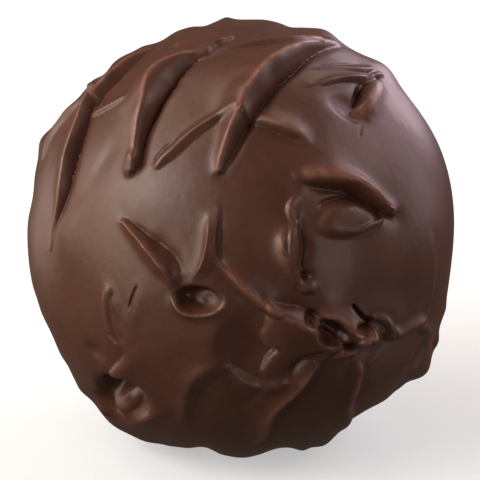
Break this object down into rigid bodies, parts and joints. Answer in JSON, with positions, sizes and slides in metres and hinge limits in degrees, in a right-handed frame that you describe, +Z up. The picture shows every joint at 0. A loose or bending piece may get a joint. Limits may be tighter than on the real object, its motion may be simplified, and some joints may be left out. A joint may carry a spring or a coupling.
{
  "type": "chocolate truffle",
  "caption": "Hand-rolled dark chocolate truffle: a ball whose coat is pulled into thin curling folds, ridges and small pits, set on a small flat foot.",
  "frame": {"origin": "on the surface the truffle stands on, under the middle of its outline", "axes": "+Z up from the foot, -Y the side with the most folds (the show face, which leans back by 20 degrees), +X to the right as that face is seen"},
  "size_m": [0.03, 0.0316, 0.03],
  "materials": {
    "dark_chocolate": "satin, set dark chocolate with soft broad highlights, redder along its thin crests"
  },
  "bodies": {
    "root": {"truffle": "dark_chocolate"}
  },
  "joints": []
}
